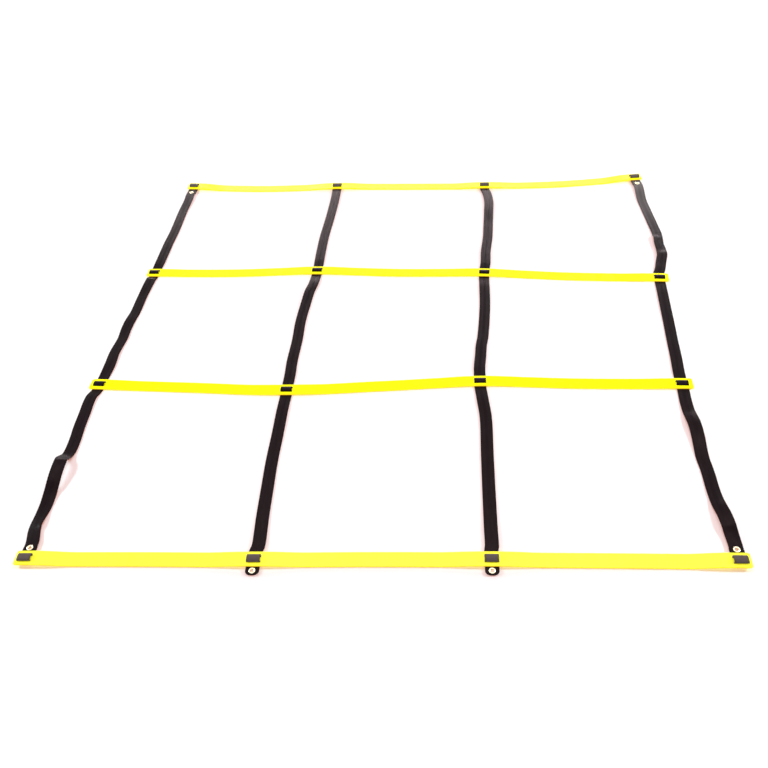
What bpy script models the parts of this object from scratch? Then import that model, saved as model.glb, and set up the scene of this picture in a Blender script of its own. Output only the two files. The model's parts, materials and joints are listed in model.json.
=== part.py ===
"""Coordination square for footwork drills, laid out on the floor.

Four flat plastic rungs lie across four lengths of webbing, three cells by three. The webbing goes
under each rung, up through a slot, over the bridge between two slots and down again. The four
outer ends loop round the bridge and are riveted to themselves with an eyelet. The two inner
straps leave the front rung as short tails with an eyelet for a peg, and their rear ends are
tucked under the rear rung. The square folds up along a line through the middle of each row of
cells, where the webbing bends, until the rungs lie in one stack.

The origin is on the floor under the middle of the square, +X runs along the rungs to the right,
and +Y runs along the webbing from the front rung to the rear one. Sizes are in metres.
"""

import math

import bpy
from mathutils import Vector

# Webbing
WEBBING_WIDTH = 0.025
WEBBING_THICKNESS = 0.0014
STRAP_PITCH = 0.42
BEND_INNER_RADIUS = 0.0004
TIP_RADIUS = 0.009

# Rungs
ROW_PITCH = 0.42
RUNG_THICKNESS = 0.003
BAR_WIDTH = 0.008
BRIDGE_WIDTH = 0.0075
SLOT_PLAY = 0.0009
SLOT_END_PLAY = 0.00075
END_MARGIN = 0.00475
END_CORNER_RADIUS = 0.004
RISE_LENGTH = 0.08
EDGE_ROUNDING = 0.0004
LEVEL_PAST_SLOT = 0.003

# Eyelets
EYELET_HOLE_RADIUS = 0.0032
EYELET_WALL = 0.0005
EYELET_FLANGE_RADIUS = 0.006
FLANGE_THICKNESS = 0.0005
LIP_THICKNESS = 0.0003
LIP_OVERLAP = 0.0005
WASHER_THICKNESS = 0.0004
FRONT_EYELET_GAP = 0.0025
REAR_EYELET_GAP = 0.0105
TAIL_EYELET_GAP = 0.0008
TAIL_TIP_MARGIN = 0.003
FOLDED_TIP_MARGIN = 0.005
TUCK_COVER = 0.002

# Clearances and the folds
SEAT = 0.0003
EXIT_RUN = 0.002
TAIL_HINGE_RUN = 0.0008
FREE_WEBBING_RUN = 0.004
FRONT_FOLD_HEIGHT = 0.012
REAR_FOLD_HEIGHT = 0.012
MIDDLE_FOLD_HEIGHT = 0.025

# Finishes, as (colour, roughness, metallic)
YELLOW_PLASTIC = ((0.95, 0.86, 0.02), 0.4, 0.0)
BLACK_WEBBING = ((0.02, 0.018, 0.02), 0.85, 0.0)
PALE_BRASS = ((0.86, 0.74, 0.5), 0.3, 1.0)
DULL_BRASS = ((0.8, 0.7, 0.48), 0.4, 1.0)
GUIDE = ((0.5, 0.5, 0.5), 0.5, 0.0)

# How many sides and steps the round shapes have
ROUND_SIDES = 16
BEND_STEPS = 3
TIP_STEPS = 5
BAY_STEPS = 8
SLOPE_STEP = 0.001
LEAST_COLUMN_GAP = 0.0005

# The square was laid out by hand, so its rungs lie a little askew. Each row gives how far the
# rung is shifted to the right, and how far its centre line is from its place at the four
# straps and halfway between them, from left to right.
ROWS = ("front", "second", "third", "rear")
RUNG_SHIFT = (-0.016, -0.019, 0.003, 0.0165)
RUNG_LIE = (
    (-0.0075, -0.0055, -0.005, -0.002, -0.001, -0.001, -0.0015),
    (0.0285, 0.017, 0.006, 0.0165, 0.028, 0.019, 0.015),
    (0.0205, 0.014, 0.017, 0.0025, -0.005, -0.026, -0.0385),
    (0.020, 0.002, 0.002, -0.0075, -0.0155, -0.016, 0.0045),
)

# The webbing wanders too. For each cell that a strap passes, from the front to the rear, the
# places along the cell, how far it strays to the right there, and how high it arches.
STRAPS = ("left_outer", "left_inner", "right_inner", "right_outer")
BAY_PLACES = (0.1, 0.3, 0.5, 0.7, 0.9)
BAY_STRAY = (
    (
        (-0.002, -0.001, -0.004, -0.002, -0.003),
        (0.003, 0.0, 0.0, 0.002, 0.0),
        (0.002, 0.002, 0.002, -0.001, 0.0),
    ),
    (
        (0.003, 0.001, 0.001, 0.002, 0.003),
        (0.002, -0.001, -0.004, -0.005, 0.002),
        (0.002, 0.001, 0.002, 0.005, 0.005),
    ),
    (
        (0.001, 0.002, 0.003, 0.005, 0.001),
        (-0.003, -0.002, 0.004, 0.005, 0.001),
        (0.004, 0.009, 0.013, 0.014, 0.006),
    ),
    (
        (-0.002, -0.008, -0.010, -0.005, -0.006),
        (-0.005, -0.004, -0.002, -0.001, -0.001),
        (0.012, 0.018, 0.012, 0.005, 0.002),
    ),
)
BAY_ARCH = (
    (
        (0.006, 0.011, 0.009, 0.001, 0.002),
        (0.002, 0.003, 0.001, 0.002, 0.001),
        (0.002, 0.001, 0.002, 0.004, 0.005),
    ),
    (
        (0.003, 0.001, 0.0, 0.001, 0.002),
        (0.001, 0.0, 0.001, 0.002, 0.003),
        (0.002, 0.001, 0.001, 0.002, 0.003),
    ),
    (
        (0.003, 0.001, 0.001, 0.001, 0.002),
        (0.003, 0.001, 0.0, 0.001, 0.002),
        (0.002, 0.002, 0.001, 0.003, 0.003),
    ),
    (
        (0.008, 0.012, 0.008, 0.004, 0.002),
        (0.002, 0.001, 0.001, 0.003, 0.002),
        (0.008, 0.007, 0.002, 0.002, 0.004),
    ),
)

# What follows from the sizes above
SLOT_WIDTH = WEBBING_THICKNESS + 2 * SLOT_PLAY
SLOT_LENGTH = WEBBING_WIDTH + 2 * SLOT_END_PLAY
SLOT_CENTRE = (BRIDGE_WIDTH + SLOT_WIDTH) / 2
RUNG_WIDTH = BRIDGE_WIDTH + 2 * SLOT_WIDTH + 2 * BAR_WIDTH
RUNG_REACH = 1.5 * STRAP_PITCH + SLOT_LENGTH / 2 + END_MARGIN
BEND_RADIUS = BEND_INNER_RADIUS + WEBBING_THICKNESS / 2
FLAT_REACH = SLOT_LENGTH / 2 + LEVEL_PAST_SLOT
TAIL_HINGE_REACH = RUNG_WIDTH / 2 + TAIL_HINGE_RUN
BARREL_RADIUS = EYELET_HOLE_RADIUS + EYELET_WALL
PIERCED_RADIUS = BARREL_RADIUS + SEAT
UNDER_EYELET = LIP_THICKNESS + SEAT + WASHER_THICKNESS + SEAT

# What lies under the rung's bars at each kind of crossing
THROUGH = "through"
LOOPED = "looped"
TAIL = "tail"
TUCKED = "tucked"


def kind_of(row, strap):
    """How a strap meets a rung."""
    outer = strap in (0, 3)
    if row in (1, 2):
        return THROUGH
    if outer:
        return LOOPED
    return TAIL if row == 0 else TUCKED


def lowest_layer(row, strap):
    """The height of the underside of the lowest webbing at a crossing."""
    return UNDER_EYELET if kind_of(row, strap) in (LOOPED, TAIL) else 0.0


def bay_layer(row, strap):
    """The height of the underside of the webbing that runs on into the cells."""
    low = lowest_layer(row, strap)
    doubled = kind_of(row, strap) in (LOOPED, TUCKED)
    return low + WEBBING_THICKNESS + SEAT if doubled else low


def rung_lift(row, strap):
    """The height of the rung's underside where a strap crosses it."""
    return bay_layer(row, strap) + WEBBING_THICKNESS + SEAT


def curve_through(places, values, limited=False):
    """A smooth function through the values. A limited one never swings past them."""
    slopes = []
    for i in range(len(places)):
        before, after = max(i - 1, 0), min(i + 1, len(places) - 1)
        slope = (values[after] - values[before]) / (places[after] - places[before])
        if limited and 0 < i < len(places) - 1:
            left = (values[i] - values[i - 1]) / (places[i] - places[i - 1])
            right = (values[i + 1] - values[i]) / (places[i + 1] - places[i])
            steepest = 3 * min(abs(left), abs(right)) if left * right > 0 else 0.0
            slope = max(-steepest, min(steepest, slope))
        elif limited:
            slope = 0.0
        slopes.append(slope)

    def value(place):
        i = 0
        while i < len(places) - 2 and place > places[i + 1]:
            i += 1
        span = places[i + 1] - places[i]
        t = (place - places[i]) / span
        rise = t * t * (3 - 2 * t)
        ease_out = t * (1 - t) ** 2 * span * slopes[i]
        ease_in = t * t * (t - 1) * span * slopes[i + 1]
        return values[i] * (1 - rise) + values[i + 1] * rise + ease_out + ease_in

    return value


def strap_place(strap):
    """How far a strap is from the middle of a rung, along it."""
    return (strap - 1.5) * STRAP_PITCH


def row_place(row):
    """Where a rung would lie if the square were laid out dead straight."""
    return (row - 1.5) * ROW_PITCH


def rung_curve(row):
    """The rung's centre line: how far back it lies at each distance along it."""
    places = [(i / 2 - 1.5) * STRAP_PITCH for i in range(7)]
    return curve_through(places, [row_place(row) + offset for offset in RUNG_LIE[row]])


def rung_height(row, along):
    """The height of the rung's underside: it rests on the floor and rises over each strap."""
    height = 0.0
    for strap in range(len(STRAPS)):
        away = abs(along - strap_place(strap)) - FLAT_REACH
        share = min(max(away / RISE_LENGTH, 0.0), 1.0)
        height = max(height, rung_lift(row, strap) * (1 + math.cos(math.pi * share)) / 2)
    return height


def crossing(row, strap):
    """The middle of a crossing on the floor, and the directions along and across the rung."""
    curve = rung_curve(row)
    along = strap_place(strap)
    reach = SLOT_LENGTH / 2
    left = Vector((along - reach, curve(along - reach), 0))
    right = Vector((along + reach, curve(along + reach), 0))
    direction = (right - left).normalized()
    across = Vector((-direction.y, direction.x, 0))
    return (left + right) / 2 + Vector((RUNG_SHIFT[row], 0, 0)), direction, across


def material(name, finish):
    colour, roughness, metallic = finish
    made = bpy.data.materials.new(name)
    made.use_nodes = True
    shader = made.node_tree.nodes["Principled BSDF"]
    shader.inputs["Base Color"].default_value = (*colour, 1)
    shader.inputs["Roughness"].default_value = roughness
    shader.inputs["Metallic"].default_value = metallic
    return made


def add_object(name, vertices, faces, origin, finish):
    """A mesh object whose vertices are given in world space."""
    mesh = bpy.data.meshes.new(name)
    mesh.from_pydata([Vector(v) - origin for v in vertices], [], faces)
    mesh.materials.append(material(name, finish))
    made = bpy.data.objects.new(name, mesh)
    made.location = origin
    bpy.context.scene.collection.objects.link(made)
    return made


def rung_columns():
    """(distance along the rung, inside a slot's length) for each line of points across it."""
    reach = SLOT_LENGTH / 2
    columns = set()
    for strap in range(len(STRAPS)):
        middle = strap_place(strap)
        for side in (-1, 1):
            columns.add((middle + side * reach, True))
            for share in (0.0, 0.25, 0.5, 0.75, 1.0):
                columns.add((middle + side * (FLAT_REACH + share * RISE_LENGTH), False))
    half_bay = STRAP_PITCH / 2
    for bay in range(len(STRAPS) - 1):
        middle = (bay - 1) * STRAP_PITCH
        rest = half_bay - FLAT_REACH - RISE_LENGTH
        columns |= {(middle + rest * share, False) for share in (-0.5, 0.0, 0.5)}
    last = RUNG_REACH - END_CORNER_RADIUS
    columns = {c for c in columns if c[1] or abs(c[0]) < last - LEAST_COLUMN_GAP}
    for share in (0.0, 0.5, 0.87, 1.0):
        columns |= {(side * (last + share * END_CORNER_RADIUS), False) for side in (-1, 1)}
    return sorted(columns)


def rung_half_width(along):
    """Half the rung's width, which its rounded corners draw in at the ends."""
    past = abs(along) - (RUNG_REACH - END_CORNER_RADIUS)
    if past <= 0:
        return RUNG_WIDTH / 2
    drop = END_CORNER_RADIUS - math.sqrt(max(END_CORNER_RADIUS**2 - past**2, 0.0))
    return RUNG_WIDTH / 2 - drop


def add_rung(row):
    """A flat strip with two slots at each strap, made as a sheet and then given its thickness."""
    curve = rung_curve(row)
    slot_edges = (
        -SLOT_CENTRE - SLOT_WIDTH / 2,
        -SLOT_CENTRE + SLOT_WIDTH / 2,
        SLOT_CENTRE - SLOT_WIDTH / 2,
        SLOT_CENTRE + SLOT_WIDTH / 2,
    )
    vertices = []
    lines = []
    for along, slotted in rung_columns():
        rise = curve(along + SLOPE_STEP) - curve(along - SLOPE_STEP)
        across = Vector((-rise, 2 * SLOPE_STEP, 0)).normalized()
        middle = Vector((RUNG_SHIFT[row] + along, curve(along), 0))
        middle.z = rung_height(row, along) + RUNG_THICKNESS
        half = rung_half_width(along)
        offsets = (-half, *slot_edges, half) if slotted else (-half, half)
        lines.append(range(len(vertices), len(vertices) + len(offsets)))
        vertices += [middle + across * offset for offset in offsets]
    faces = []
    for left, right in zip(lines, lines[1:]):
        if len(left) == len(right) == 6:
            for near in (0, 2, 4):
                faces.append((left[near], right[near], right[near + 1], left[near + 1]))
        else:
            faces.append((*reversed(left), *right))
    origin = Vector((RUNG_SHIFT[row], row_place(row), 0))
    rung = add_object(f"rung_{ROWS[row]}", vertices, faces, origin, YELLOW_PLASTIC)
    solidify = rung.modifiers.new("thickness", "SOLIDIFY")
    solidify.thickness = RUNG_THICKNESS
    solidify.offset = -1
    edges = rung.modifiers.new("eased edges", "BEVEL")
    edges.width = EDGE_ROUNDING
    edges.segments = 1
    edges.limit_method = "ANGLE"
    edges.angle_limit = math.radians(60)
    return rung


def rounded(points, radius, steps):
    """A path through the points with each corner turned into an arc."""
    path = [points[0]]
    for before, corner, after in zip(points, points[1:], points[2:]):
        into = (corner - before).normalized()
        out = (after - corner).normalized()
        turn = into.angle(out)
        if turn < 0.01:
            continue
        cut = radius * math.tan(turn / 2)
        start = corner - into * cut
        centre = start + (out - into * into.dot(out)).normalized() * radius
        arm = start - centre
        for step in range(steps + 1):
            angle = turn * step / steps
            path.append(centre + arm * math.cos(angle) + into * radius * math.sin(angle))
    path.append(points[-1])
    return path


def crossing_profile(row, strap):
    """The webbing's way round a rung as (distance across the rung, height), front to rear.

    Mirrored for the front row, where the loose end lies in front.
    """
    kind = kind_of(row, strap)
    half = WEBBING_THICKNESS / 2
    low = lowest_layer(row, strap) + half
    bay = bay_layer(row, strap) + half
    over = rung_lift(row, strap) + RUNG_THICKNESS + SEAT + half
    outside = RUNG_WIDTH / 2 + EXIT_RUN
    entry = [(-outside, bay), (-SLOT_CENTRE, bay), (-SLOT_CENTRE, over), (SLOT_CENTRE, over)]
    if kind == THROUGH:
        rest = [(SLOT_CENTRE, low), (outside, low)]
    elif kind == TAIL:
        rest = [(SLOT_CENTRE, low), (TAIL_HINGE_REACH - SEAT / 2, low)]
    elif kind == TUCKED:
        rest = [(SLOT_CENTRE, low), (TUCK_COVER - RUNG_WIDTH / 2, low)]
    else:
        rest = [(SLOT_CENTRE, low), (-loop_reach(row), low)]
    flat = [Vector((0, across, height)) for across, height in entry + rest]
    return rounded(flat, BEND_RADIUS, BEND_STEPS)


def eyelet_reach(row, strap):
    """How far an eyelet's centre is from the middle of its rung."""
    if kind_of(row, strap) == TAIL:
        return TAIL_HINGE_REACH + TAIL_EYELET_GAP + EYELET_FLANGE_RADIUS
    gap = FRONT_EYELET_GAP if row == 0 else REAR_EYELET_GAP
    return RUNG_WIDTH / 2 + gap + EYELET_FLANGE_RADIUS


def loop_reach(row):
    """How far the end that is folded back under a rung reaches past the rung's middle."""
    return eyelet_reach(row, 0) + EYELET_FLANGE_RADIUS + FOLDED_TIP_MARGIN


def tail_reach():
    """How far a free tail's tip is from the middle of the front rung."""
    return eyelet_reach(0, 1) + EYELET_FLANGE_RADIUS + TAIL_TIP_MARGIN


def crossing_path(row, strap):
    """(point, direction of the webbing's width) along the webbing at a rung, front to rear."""
    centre, along, across = crossing(row, strap)
    mirrored = -1 if row == 0 else 1
    path = []
    for point in crossing_profile(row, strap):
        place = centre + across * point.y * mirrored
        place.z = point.z
        path.append((place, along))
    return path[::-1] if row == 0 else path


def fold_place(row):
    """Where the webbing folds between this row and the next one."""
    rows = [sum(crossing(r, s)[0].y for s in range(4)) / 4 for r in (row, row + 1)]
    return sum(rows) / 2


def bay_curves(bay, strap):
    """How the webbing runs between two rungs: (start, end, sideways curve, height curve)."""
    half = WEBBING_THICKNESS / 2
    ends = []
    for row, side in ((bay, 1), (bay + 1, -1)):
        centre, _, across = crossing(row, strap)
        ends.append((centre, centre + across * side * (RUNG_WIDTH / 2 + EXIT_RUN), row, side))
    (front, leaves, first, _), (rear, arrives, second, _) = ends
    knots = [(leaves.y, leaves.x, bay_layer(first, strap) + half)]
    if kind_of(first, strap) == LOOPED:
        knots.append(past_eyelet(first, strap, 1))
    for place, stray, arch in zip(BAY_PLACES, BAY_STRAY[strap][bay], BAY_ARCH[strap][bay]):
        middle = front.lerp(rear, place)
        knots.append((middle.y, middle.x + stray, arch + half))
    if kind_of(second, strap) == LOOPED:
        knots.append(past_eyelet(second, strap, -1))
    knots.append((arrives.y, arrives.x, bay_layer(second, strap) + half))
    knots = clear_of_doubled_ends(sorted(knots), bay, strap)
    places = [knot[0] for knot in knots]
    sideways = curve_through(places, [knot[1] for knot in knots])
    height = curve_through(places, [knot[2] for knot in knots], limited=True)
    return places[0], places[-1], sideways, height


def past_eyelet(row, strap, side):
    """The point where the webbing leaves the flat stretch that is riveted to its own end."""
    centre, _, across = crossing(row, strap)
    point = centre + across * side * (loop_reach(row) + EXIT_RUN)
    return point.y, point.x, bay_layer(row, strap) + WEBBING_THICKNESS / 2


def clear_of_doubled_ends(knots, bay, strap):
    """The points without those that would lie on a stretch riveted to its own end."""
    lowest, highest = knots[0][0], knots[-1][0]
    if kind_of(bay, strap) == LOOPED:
        lowest = past_eyelet(bay, strap, 1)[0] + FREE_WEBBING_RUN
    if kind_of(bay + 1, strap) == LOOPED:
        highest = past_eyelet(bay + 1, strap, -1)[0] - FREE_WEBBING_RUN
    riveted = (past_eyelet(bay, strap, 1)[0], past_eyelet(bay + 1, strap, -1)[0])
    ends = (knots[0], knots[-1])
    return [k for k in knots if k in ends or k[0] in riveted or lowest < k[0] < highest]


def bay_path(bay, strap, from_front):
    """Half of the webbing between two rungs: from the front one to the fold, or on from it."""
    start, end, sideways, height = bay_curves(bay, strap)
    fold = fold_place(bay)
    if from_front:
        looped = kind_of(bay, strap) == LOOPED
        free = past_eyelet(bay, strap, 1)[0] if looped else start
        steps = range(0 if looped else 1, BAY_STEPS + 1)
        places = [free + (fold - SEAT / 2 - free) * step / BAY_STEPS for step in steps]
    else:
        looped = kind_of(bay + 1, strap) == LOOPED
        free = past_eyelet(bay + 1, strap, -1)[0] if looped else end
        steps = range(BAY_STEPS, -1 if looped else 0, -1)
        places = [free + (fold + SEAT / 2 - free) * step / BAY_STEPS for step in steps]
    path = []
    for place in places:
        drift = sideways(place + SLOPE_STEP) - sideways(place - SLOPE_STEP)
        slope = drift / (2 * SLOPE_STEP)
        at_fold = abs(place - fold) < SEAT
        side = Vector((1, 0, 0)) if at_fold else Vector((1, -slope, 0)).normalized()
        path.append((Vector((sideways(place), place, height(place))), side))
    return path


def tip_half_widths(path, at_start):
    """Draws in the webbing's width over a rounded tip. Returns the path with the points added."""
    if not at_start:
        turned = tip_half_widths(path[::-1], True)
        return turned[::-1]
    (tip, side), (inner, _) = path[0], path[1]
    direction = (inner - tip).normalized()
    made = []
    for step in range(TIP_STEPS + 1):
        angle = math.pi / 2 * step / TIP_STEPS
        place = tip + direction * TIP_RADIUS * (1 - math.cos(angle))
        half = WEBBING_WIDTH / 2 - TIP_RADIUS * (1 - math.sin(angle))
        made.append((place, side, half))
    return made + [(*entry, WEBBING_WIDTH / 2) for entry in path[1:]]


def strap_path(row, strap):
    """One stretch of webbing, from fold to fold or to its end, as (point, width direction)."""
    path = crossing_path(row, strap)
    if row > 0:
        path = bay_path(row - 1, strap, from_front=False) + path
    if row < len(ROWS) - 1:
        path = path + bay_path(row, strap, from_front=True)
    return path


def add_strap(row, strap):
    """A ribbon of webbing, made as a sheet and then given its thickness."""
    path = strap_path(row, strap)
    if kind_of(row, strap) in (THROUGH, TAIL):
        path = [(*entry, WEBBING_WIDTH / 2) for entry in path]
    else:
        path = tip_half_widths(path, at_start=row == 0)
    name = f"strap_{STRAPS[strap]}_{ROWS[row]}"
    return add_ribbon(name, path, crossing(row, strap)[0])


def add_tail(strap, side):
    """The free end of a strap in front of the front rung, from the line where it bends."""
    centre, along, across = crossing(0, strap)
    middle = Vector((0, 0, lowest_layer(0, strap) + WEBBING_THICKNESS / 2))
    first = centre - across * (TAIL_HINGE_REACH + SEAT / 2) + middle
    last = centre - across * tail_reach() + middle
    path = tip_half_widths([(last, along), (first, along)], at_start=True)
    return add_ribbon(f"tail_{side}", path, tail_hinge(strap))


def tail_hinge(strap):
    """The middle of the line that a tail bends about, just above the webbing."""
    centre, _, across = crossing(0, strap)
    height = lowest_layer(0, strap) + WEBBING_THICKNESS + SEAT / 2
    return centre - across * TAIL_HINGE_REACH + Vector((0, 0, height))


def add_ribbon(name, path, origin):
    """Webbing along a path of (point, width direction, half width)."""
    vertices = []
    for place, side, half in path:
        vertices += [place - side * half, place + side * half]
    faces = [(2 * i, 2 * i + 1, 2 * i + 3, 2 * i + 2) for i in range(len(path) - 1)]
    ribbon = add_object(name, vertices, faces, origin, BLACK_WEBBING)
    solidify = ribbon.modifiers.new("thickness", "SOLIDIFY")
    solidify.thickness = WEBBING_THICKNESS
    solidify.offset = 0
    solidify.use_even_offset = True
    return ribbon


def add_turned(name, profile, origin, finish):
    """A round piece, turned from a closed profile of (radius, height) points."""
    vertices = []
    for side in range(ROUND_SIDES):
        angle = 2 * math.pi * side / ROUND_SIDES
        for radius, height in profile:
            spoke = Vector((radius * math.cos(angle), radius * math.sin(angle), height))
            vertices.append(origin + spoke)
    count = len(profile)
    faces = []
    for side in range(ROUND_SIDES):
        here, there = side * count, (side + 1) % ROUND_SIDES * count
        for i in range(count):
            j = (i + 1) % count
            faces.append((here + i, there + i, there + j, here + j))
    turned = add_object(name, vertices, faces, origin, finish)
    turned.data.shade_smooth()
    turned.data.set_sharp_from_angle(angle=math.radians(40))
    return turned


def eyelet_place(row, strap):
    """The point on the floor under an eyelet's centre."""
    centre, _, across = crossing(row, strap)
    toward_cells = 1 if row == 0 else -1
    if kind_of(row, strap) == TAIL:
        toward_cells = -toward_cells
    return centre + across * toward_cells * eyelet_reach(row, strap)


def add_eyelet(row, strap, label, ribbon):
    """A flanged barrel through the webbing, its washer, and the hole that it goes through."""
    origin = eyelet_place(row, strap)
    layers = 2 if kind_of(row, strap) == LOOPED else 1
    under_flange = UNDER_EYELET + layers * (WEBBING_THICKNESS + SEAT)
    top = under_flange + FLANGE_THICKNESS
    lip_radius = PIERCED_RADIUS + LIP_OVERLAP
    edge = FLANGE_THICKNESS / 2
    profile = (
        (EYELET_HOLE_RADIUS, 0.0),
        (lip_radius, 0.0),
        (lip_radius, LIP_THICKNESS),
        (BARREL_RADIUS, LIP_THICKNESS),
        (BARREL_RADIUS, under_flange),
        (EYELET_FLANGE_RADIUS, under_flange),
        (EYELET_FLANGE_RADIUS, top - edge),
        (EYELET_FLANGE_RADIUS - edge, top),
        (EYELET_HOLE_RADIUS + edge, top),
        (EYELET_HOLE_RADIUS, top - edge),
    )
    eyelet = add_turned(f"eyelet_{label}", profile, origin, PALE_BRASS)
    bottom = LIP_THICKNESS + SEAT
    washer_profile = (
        (PIERCED_RADIUS, bottom),
        (EYELET_FLANGE_RADIUS, bottom),
        (EYELET_FLANGE_RADIUS, bottom + WASHER_THICKNESS),
        (PIERCED_RADIUS, bottom + WASHER_THICKNESS),
    )
    washer = add_turned(f"washer_{label}", washer_profile, origin, DULL_BRASS)
    punch = add_punch(f"punch_{label}", PIERCED_RADIUS, top + SEAT, origin)
    hole = ribbon.modifiers.new("eyelet hole", "BOOLEAN")
    hole.object = punch
    hole.operation = "DIFFERENCE"
    return [eyelet, washer, punch]


def add_punch(name, radius, height, origin):
    """A closed cylinder that cuts a hole and isn't part of the object."""
    vertices = []
    for level in (0.0, height):
        for side in range(ROUND_SIDES):
            angle = 2 * math.pi * side / ROUND_SIDES
            spoke = Vector((radius * math.cos(angle), radius * math.sin(angle), level))
            vertices.append(origin + spoke)
    lower = list(range(ROUND_SIDES))
    upper = [ROUND_SIDES + i for i in lower]
    faces = [lower[::-1], upper]
    for i in lower:
        j = (i + 1) % ROUND_SIDES
        faces.append((i, j, ROUND_SIDES + j, ROUND_SIDES + i))
    punch = add_object(name, vertices, faces, origin, GUIDE)
    punch.hide_render = True
    punch.display_type = "WIRE"
    return punch


def add_axis(name, place, parent=None):
    """An empty on a fold's axis, which carries what turns about it."""
    empty = bpy.data.objects.new(name, None)
    empty.empty_display_size = 0.05
    empty.location = place
    bpy.context.scene.collection.objects.link(empty)
    if parent:
        empty.parent = parent
        empty.location = place - parent.location
    return empty


def carry(pieces, axis, place):
    """Hangs pieces on an axis, leaving them where they are."""
    for piece in pieces:
        piece.parent = axis
        piece.location -= place


def main():
    for old in list(bpy.data.objects):
        bpy.data.objects.remove(old)
    rows = []
    for row in range(len(ROWS)):
        pieces = [add_rung(row)]
        for strap in range(len(STRAPS)):
            ribbon = add_strap(row, strap)
            pieces.append(ribbon)
            if kind_of(row, strap) == TAIL:
                side = STRAPS[strap].split("_")[0]
                ribbon = add_tail(strap, side)
                fittings = add_eyelet(row, strap, f"tail_{side}", ribbon)
                carry(fittings, ribbon, ribbon.location.copy())
                pieces.append(ribbon)
            elif kind_of(row, strap) == LOOPED:
                label = f"{ROWS[row]}_{STRAPS[strap].split('_')[0]}"
                pieces += add_eyelet(row, strap, label, ribbon)
        rows.append(pieces)
    front = Vector((0, fold_place(0), FRONT_FOLD_HEIGHT))
    middle = Vector((0, fold_place(1), MIDDLE_FOLD_HEIGHT))
    rear = Vector((0, fold_place(2), REAR_FOLD_HEIGHT))
    front_axis = add_axis("fold_front_axis", front)
    middle_axis = add_axis("fold_middle_axis", middle)
    rear_axis = add_axis("fold_rear_axis", rear, middle_axis)
    carry(rows[0], front_axis, front)
    carry(rows[2], middle_axis, middle)
    carry(rows[3], rear_axis, rear)


main()
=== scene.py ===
# %% [markdown]
# # Dressing a coordination square
#
# A coordination square is a training aid that lies flat on the floor. Four yellow plastic rungs
# cross four lengths of black webbing, and the feet step into the nine cells. The CAD model
# already has every piece in its place, so this lesson only gives the pieces their fine shapes
# and their finishes. The first step loads that model. Everything is in metres, +X runs along
# the rungs to the right, +Y runs along the webbing away from us and +Z is up.

# %% Load the CAD model
import json
import math

import bpy
import bmesh
from mathutils import Matrix, Vector


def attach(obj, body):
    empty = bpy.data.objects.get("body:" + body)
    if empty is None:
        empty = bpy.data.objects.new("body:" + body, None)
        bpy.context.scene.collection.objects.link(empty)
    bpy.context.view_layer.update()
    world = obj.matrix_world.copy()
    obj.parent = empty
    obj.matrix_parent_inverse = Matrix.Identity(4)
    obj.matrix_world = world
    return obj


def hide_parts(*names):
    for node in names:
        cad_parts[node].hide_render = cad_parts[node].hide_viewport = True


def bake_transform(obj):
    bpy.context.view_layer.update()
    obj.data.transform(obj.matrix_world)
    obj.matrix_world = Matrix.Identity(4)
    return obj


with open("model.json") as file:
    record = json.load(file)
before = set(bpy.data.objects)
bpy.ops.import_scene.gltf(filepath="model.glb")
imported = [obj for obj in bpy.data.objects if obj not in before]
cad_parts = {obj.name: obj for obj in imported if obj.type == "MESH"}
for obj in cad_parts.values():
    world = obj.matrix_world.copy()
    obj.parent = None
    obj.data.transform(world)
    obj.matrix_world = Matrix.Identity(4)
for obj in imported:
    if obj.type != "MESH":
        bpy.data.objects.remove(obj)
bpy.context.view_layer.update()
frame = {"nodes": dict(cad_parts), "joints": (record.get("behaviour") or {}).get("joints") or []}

# %% [markdown]
# ## The camera
#
# The picture is taken from in front of the square, a little to the right of its middle, with the
# camera at chest height and tipped down. A camera's matrix is easiest to write as three
# directions: where its right side, its top and its back point. The lens is given for Blender's
# usual sensor, 36 mm wide.

# %% Place the camera
CAMERA_PLACE = Vector((0.11906, -1.45815, 1.22762))
CAMERA_RIGHT = Vector((0.99704706, 0.04885938, -0.05924453))
CAMERA_UP = Vector((0.00870006, 0.6946479, 0.7192973))
CAMERA_LENS = 38.625

camera = bpy.data.objects.new("camera", bpy.data.cameras.new("camera"))
camera.data.lens = CAMERA_LENS
camera.data.sensor_width = 36.0
turn = Matrix((CAMERA_RIGHT, CAMERA_UP, CAMERA_RIGHT.cross(CAMERA_UP))).transposed()
camera.matrix_world = Matrix.Translation(CAMERA_PLACE) @ turn.to_4x4()
bpy.context.scene.collection.objects.link(camera)
bpy.context.scene.camera = camera
print("Camera height in metres:", round(CAMERA_PLACE.z, 3))

# %% [markdown]
# ## Smooth lines through a few points
#
# Nothing in the square is quite straight: the rungs bow and the webbing wanders. A bow is easiest
# to describe by a few points and a smooth line through them. A cubic that matches its
# neighbours' slopes passes through each point exactly, which a plain Bezier curve doesn't. The
# limited form never swings past its points, so webbing on the floor doesn't dip under it.

# %% A smooth line through points


def smooth_line(places, values, limited=False):
    """A function that passes smoothly through the values at those places."""
    slopes = []
    last = len(places) - 1
    for i in range(len(places)):
        before, after = max(i - 1, 0), min(i + 1, last)
        slope = (values[after] - values[before]) / (places[after] - places[before])
        if limited and 0 < i < last:
            left = (values[i] - values[i - 1]) / (places[i] - places[i - 1])
            right = (values[i + 1] - values[i]) / (places[i + 1] - places[i])
            steepest = 3 * min(abs(left), abs(right)) if left * right > 0 else 0.0
            slope = max(-steepest, min(steepest, slope))
        elif limited:
            slope = 0.0
        slopes.append(slope)

    def value(place):
        i = 0
        while i < last - 1 and place > places[i + 1]:
            i += 1
        span = places[i + 1] - places[i]
        t = (place - places[i]) / span
        rise = t * t * (3 - 2 * t)
        ease_out = t * (1 - t) ** 2 * span * slopes[i]
        ease_in = t * t * (t - 1) * span * slopes[i + 1]
        return values[i] * (1 - rise) + values[i + 1] * rise + ease_out + ease_in

    return value


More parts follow.
